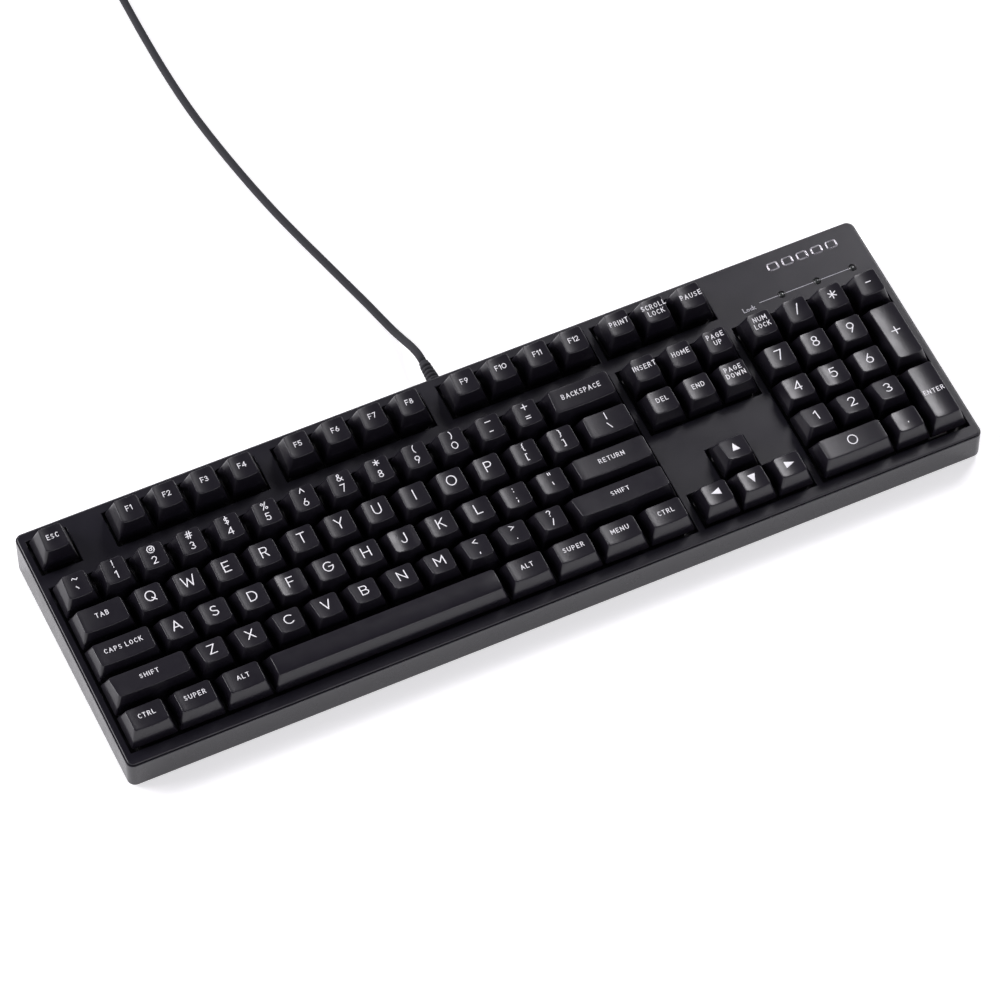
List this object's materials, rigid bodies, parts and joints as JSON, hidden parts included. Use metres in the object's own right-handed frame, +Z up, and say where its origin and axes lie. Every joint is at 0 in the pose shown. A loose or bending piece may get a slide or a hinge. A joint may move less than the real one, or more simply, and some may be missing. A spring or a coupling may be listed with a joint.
{
  "type": "mechanical keyboard",
  "caption": "Full-size corded keyboard with sculpted dished keycaps on sprung cross-stem switches, a low two-part case, folding rear feet and a USB plug.",
  "frame": {"origin": "under the middle of the case at desk level, on the rubber pads' lower faces", "axes": "+X to the keyboard's right, +Y to its back, +Z up; the keys move 2.5 degrees off -Z"},
  "size_m": [0.438, 0.5203, 0.0377],
  "materials": {
    "case_cover": "fine-textured near-black plastic",
    "case_shell": "satin near-black plastic",
    "keycap": "satin near-black moulded plastic with pale two-shot legends",
    "plate_steel": "black powder coat",
    "board": "green solder mask",
    "housing": "moulded black plastic",
    "spring_steel": "drawn wire",
    "led_lens": "diffusing lens",
    "screw_steel": "zinc-plated",
    "pad_rubber": "matt rubber",
    "chip": "epoxy package",
    "socket_plastic": "natural nylon",
    "cable_jacket": "smooth black PVC jacket",
    "tie_fabric": "hook-and-loop strap",
    "plug_steel": "nickel-plated steel"
  },
  "bodies": {
    "case": {"top_case": "case_cover", "bottom_case": "case_shell", "mounting_plate": "plate_steel", "circuit_board": "board", "switch_lower_housings": "housing", "switch_upper_housings": "housing", "switch_springs": "spring_steel", "stabiliser_housings": "housing", "stabiliser_wires": "spring_steel", "indicator_leds": "led_lens", "case_screws": "screw_steel", "rubber_feet": "pad_rubber", "controller_chip": "chip", "board_socket": "socket_plastic", "inner_lead": "cable_jacket", "strain_relief": "cable_jacket", "cable": "cable_jacket", "cable_coil": "cable_jacket", "cable_tie": "tie_fabric", "usb_plug_body": "cable_jacket", "usb_plug_shell": "plug_steel"},
    "foot_left": {"foot_left": "case_cover"},
    "foot_right": {"foot_right": "case_cover"},
    "escape_key": {"escape_key": "keycap"},
    "f1_to_f4_keys": {"f1_to_f4_keys": "keycap"},
    "f5_to_f8_keys": {"f5_to_f8_keys": "keycap"},
    "f9_to_f12_keys": {"f9_to_f12_keys": "keycap"},
    "print_scroll_pause_keys": {"print_scroll_pause_keys": "keycap"},
    "number_keys_left": {"number_keys_left": "keycap"},
    "number_keys_right": {"number_keys_right": "keycap"},
    "backspace_key": {"backspace_key": "keycap"},
    "tab_key": {"tab_key": "keycap"},
    "letter_keys_upper_left": {"letter_keys_upper_left": "keycap"},
    "letter_keys_upper_right": {"letter_keys_upper_right": "keycap"},
    "caps_lock_key": {"caps_lock_key": "keycap"},
    "letter_keys_home_left": {"letter_keys_home_left": "keycap"},
    "letter_keys_home_right": {"letter_keys_home_right": "keycap"},
    "return_key": {"return_key": "keycap"},
    "shift_key_left": {"shift_key_left": "keycap"},
    "letter_keys_lower_left": {"letter_keys_lower_left": "keycap"},
    "letter_keys_lower_right": {"letter_keys_lower_right": "keycap"},
    "shift_key_right": {"shift_key_right": "keycap"},
    "ctrl_key_left": {"ctrl_key_left": "keycap"},
    "system_key_left": {"system_key_left": "keycap"},
    "alt_key_left": {"alt_key_left": "keycap"},
    "space_bar": {"space_bar": "keycap"},
    "alt_key_right": {"alt_key_right": "keycap"},
    "system_key_right": {"system_key_right": "keycap"},
    "menu_key": {"menu_key": "keycap"},
    "ctrl_key_right": {"ctrl_key_right": "keycap"},
    "editing_keys": {"editing_keys": "keycap"},
    "arrow_key_up": {"arrow_key_up": "keycap"},
    "arrow_key_left": {"arrow_key_left": "keycap"},
    "arrow_key_down": {"arrow_key_down": "keycap"},
    "arrow_key_right": {"arrow_key_right": "keycap"},
    "keypad_top_keys": {"keypad_top_keys": "keycap"},
    "keypad_digit_keys": {"keypad_digit_keys": "keycap"},
    "keypad_plus_key": {"keypad_plus_key": "keycap"},
    "keypad_enter_key": {"keypad_enter_key": "keycap"},
    "keypad_zero_key": {"keypad_zero_key": "keycap"}
  },
  "joints": [
    {"name": "foot_left_fold", "type": "hinge", "parent": "case", "child": "foot_left", "pos_m": [-0.169, 0.0525, 0.0038], "axis": [1, 0, 0], "range_deg": [0, 90]},
    {"name": "foot_right_fold", "type": "hinge", "parent": "case", "child": "foot_right", "pos_m": [0.169, 0.0525, 0.0038], "axis": [1, 0, 0], "range_deg": [0, 90]},
    {"name": "space_bar_press", "type": "slide", "parent": "case", "child": "space_bar", "axis": [0, 0.0436, -0.999], "range_m": [0, 0.004], "stiffness_N_per_m": 75, "springref_m": -0.004, "deforming": ["switch_springs"]},
    {"name": "keypad_enter_key_press", "type": "slide", "parent": "case", "child": "keypad_enter_key", "axis": [0, 0.0436, -0.999], "range_m": [0, 0.004], "stiffness_N_per_m": 75, "springref_m": -0.004},
    {"name": "keypad_plus_key_press", "type": "slide", "parent": "case", "child": "keypad_plus_key", "axis": [0, 0.0436, -0.999], "range_m": [0, 0.004], "stiffness_N_per_m": 75, "springref_m": -0.004},
    {"name": "return_key_press", "type": "slide", "parent": "case", "child": "return_key", "axis": [0, 0.0436, -0.999], "range_m": [0, 0.004], "stiffness_N_per_m": 75, "springref_m": -0.004},
    {"name": "shift_key_left_press", "type": "slide", "parent": "case", "child": "shift_key_left", "axis": [0, 0.0436, -0.999], "range_m": [0, 0.004], "stiffness_N_per_m": 75, "springref_m": -0.004},
    {"name": "shift_key_right_press", "type": "slide", "parent": "case", "child": "shift_key_right", "axis": [0, 0.0436, -0.999], "range_m": [0, 0.004], "stiffness_N_per_m": 75, "springref_m": -0.004},
    {"name": "backspace_key_press", "type": "slide", "parent": "case", "child": "backspace_key", "axis": [0, 0.0436, -0.999], "range_m": [0, 0.004], "stiffness_N_per_m": 75, "springref_m": -0.004},
    {"name": "letter_keys_home_left_press", "type": "slide", "parent": "case", "child": "letter_keys_home_left", "axis": [0, 0.0436, -0.999], "range_m": [0, 0.004], "stiffness_N_per_m": 375, "springref_m": -0.004},
    {"name": "keypad_digit_keys_press", "type": "slide", "parent": "case", "child": "keypad_digit_keys", "axis": [0, 0.0436, -0.999], "range_m": [0, 0.004], "stiffness_N_per_m": 750, "springref_m": -0.004},
    {"name": "editing_keys_press", "type": "slide", "parent": "case", "child": "editing_keys", "axis": [0, 0.0436, -0.999], "range_m": [0, 0.004], "stiffness_N_per_m": 450, "springref_m": -0.004},
    {"name": "number_keys_left_press", "type": "slide", "parent": "case", "child": "number_keys_left", "axis": [0, 0.0436, -0.999], "range_m": [0, 0.004], "stiffness_N_per_m": 450, "springref_m": -0.004},
    {"name": "f1_to_f4_keys_press", "type": "slide", "parent": "case", "child": "f1_to_f4_keys", "axis": [0, 0.0436, -0.999], "range_m": [0, 0.004], "stiffness_N_per_m": 300, "springref_m": -0.004},
    {"name": "escape_key_press", "type": "slide", "parent": "case", "child": "escape_key", "axis": [0, 0.0436, -0.999], "range_m": [0, 0.004], "stiffness_N_per_m": 75, "springref_m": -0.004},
    {"name": "f5_to_f8_keys_press", "type": "slide", "parent": "case", "child": "f5_to_f8_keys", "axis": [0, 0.0436, -0.999], "range_m": [0, 0.004], "stiffness_N_per_m": 300, "springref_m": -0.004},
    {"name": "f9_to_f12_keys_press", "type": "slide", "parent": "case", "child": "f9_to_f12_keys", "axis": [0, 0.0436, -0.999], "range_m": [0, 0.004], "stiffness_N_per_m": 300, "springref_m": -0.004},
    {"name": "print_scroll_pause_keys_press", "type": "slide", "parent": "case", "child": "print_scroll_pause_keys", "axis": [0, 0.0436, -0.999], "range_m": [0, 0.004], "stiffness_N_per_m": 225, "springref_m": -0.004},
    {"name": "number_keys_right_press", "type": "slide", "parent": "case", "child": "number_keys_right", "axis": [0, 0.0436, -0.999], "range_m": [0, 0.004], "stiffness_N_per_m": 525, "springref_m": -0.004},
    {"name": "tab_key_press", "type": "slide", "parent": "case", "child": "tab_key", "axis": [0, 0.0436, -0.999], "range_m": [0, 0.004], "stiffness_N_per_m": 75, "springref_m": -0.004},
    {"name": "letter_keys_upper_left_press", "type": "slide", "parent": "case", "child": "letter_keys_upper_left", "axis": [0, 0.0436, -0.999], "range_m": [0, 0.004], "stiffness_N_per_m": 375, "springref_m": -0.004},
    {"name": "letter_keys_upper_right_press", "type": "slide", "parent": "case", "child": "letter_keys_upper_right", "axis": [0, 0.0436, -0.999], "range_m": [0, 0.004], "stiffness_N_per_m": 600, "springref_m": -0.004},
    {"name": "caps_lock_key_press", "type": "slide", "parent": "case", "child": "caps_lock_key", "axis": [0, 0.0436, -0.999], "range_m": [0, 0.004], "stiffness_N_per_m": 75, "springref_m": -0.004},
    {"name": "letter_keys_home_right_press", "type": "slide", "parent": "case", "child": "letter_keys_home_right", "axis": [0, 0.0436, -0.999], "range_m": [0, 0.004], "stiffness_N_per_m": 450, "springref_m": -0.004},
    {"name": "letter_keys_lower_left_press", "type": "slide", "parent": "case", "child": "letter_keys_lower_left", "axis": [0, 0.0436, -0.999], "range_m": [0, 0.004], "stiffness_N_per_m": 375, "springref_m": -0.004},
    {"name": "letter_keys_lower_right_press", "type": "slide", "parent": "case", "child": "letter_keys_lower_right", "axis": [0, 0.0436, -0.999], "range_m": [0, 0.004], "stiffness_N_per_m": 375, "springref_m": -0.004},
    {"name": "ctrl_key_left_press", "type": "slide", "parent": "case", "child": "ctrl_key_left", "axis": [0, 0.0436, -0.999], "range_m": [0, 0.004], "stiffness_N_per_m": 75, "springref_m": -0.004},
    {"name": "system_key_left_press", "type": "slide", "parent": "case", "child": "system_key_left", "axis": [0, 0.0436, -0.999], "range_m": [0, 0.004], "stiffness_N_per_m": 75, "springref_m": -0.004},
    {"name": "alt_key_left_press", "type": "slide", "parent": "case", "child": "alt_key_left", "axis": [0, 0.0436, -0.999], "range_m": [0, 0.004], "stiffness_N_per_m": 75, "springref_m": -0.004},
    {"name": "alt_key_right_press", "type": "slide", "parent": "case", "child": "alt_key_right", "axis": [0, 0.0436, -0.999], "range_m": [0, 0.004], "stiffness_N_per_m": 75, "springref_m": -0.004},
    {"name": "system_key_right_press", "type": "slide", "parent": "case", "child": "system_key_right", "axis": [0, 0.0436, -0.999], "range_m": [0, 0.004], "stiffness_N_per_m": 75, "springref_m": -0.004},
    {"name": "menu_key_press", "type": "slide", "parent": "case", "child": "menu_key", "axis": [0, 0.0436, -0.999], "range_m": [0, 0.004], "stiffness_N_per_m": 75, "springref_m": -0.004},
    {"name": "ctrl_key_right_press", "type": "slide", "parent": "case", "child": "ctrl_key_right", "axis": [0, 0.0436, -0.999], "range_m": [0, 0.004], "stiffness_N_per_m": 75, "springref_m": -0.004},
    {"name": "arrow_key_up_press", "type": "slide", "parent": "case", "child": "arrow_key_up", "axis": [0, 0.0436, -0.999], "range_m": [0, 0.004], "stiffness_N_per_m": 75, "springref_m": -0.004},
    {"name": "arrow_key_left_press", "type": "slide", "parent": "case", "child": "arrow_key_left", "axis": [0, 0.0436, -0.999], "range_m": [0, 0.004], "stiffness_N_per_m": 75, "springref_m": -0.004},
    {"name": "arrow_key_down_press", "type": "slide", "parent": "case", "child": "arrow_key_down", "axis": [0, 0.0436, -0.999], "range_m": [0, 0.004], "stiffness_N_per_m": 75, "springref_m": -0.004},
    {"name": "arrow_key_right_press", "type": "slide", "parent": "case", "child": "arrow_key_right", "axis": [0, 0.0436, -0.999], "range_m": [0, 0.004], "stiffness_N_per_m": 75, "springref_m": -0.004},
    {"name": "keypad_top_keys_press", "type": "slide", "parent": "case", "child": "keypad_top_keys", "axis": [0, 0.0436, -0.999], "range_m": [0, 0.004], "stiffness_N_per_m": 300, "springref_m": -0.004},
    {"name": "keypad_zero_key_press", "type": "slide", "parent": "case", "child": "keypad_zero_key", "axis": [0, 0.0436, -0.999], "range_m": [0, 0.004], "stiffness_N_per_m": 75, "springref_m": -0.004}
  ]
}
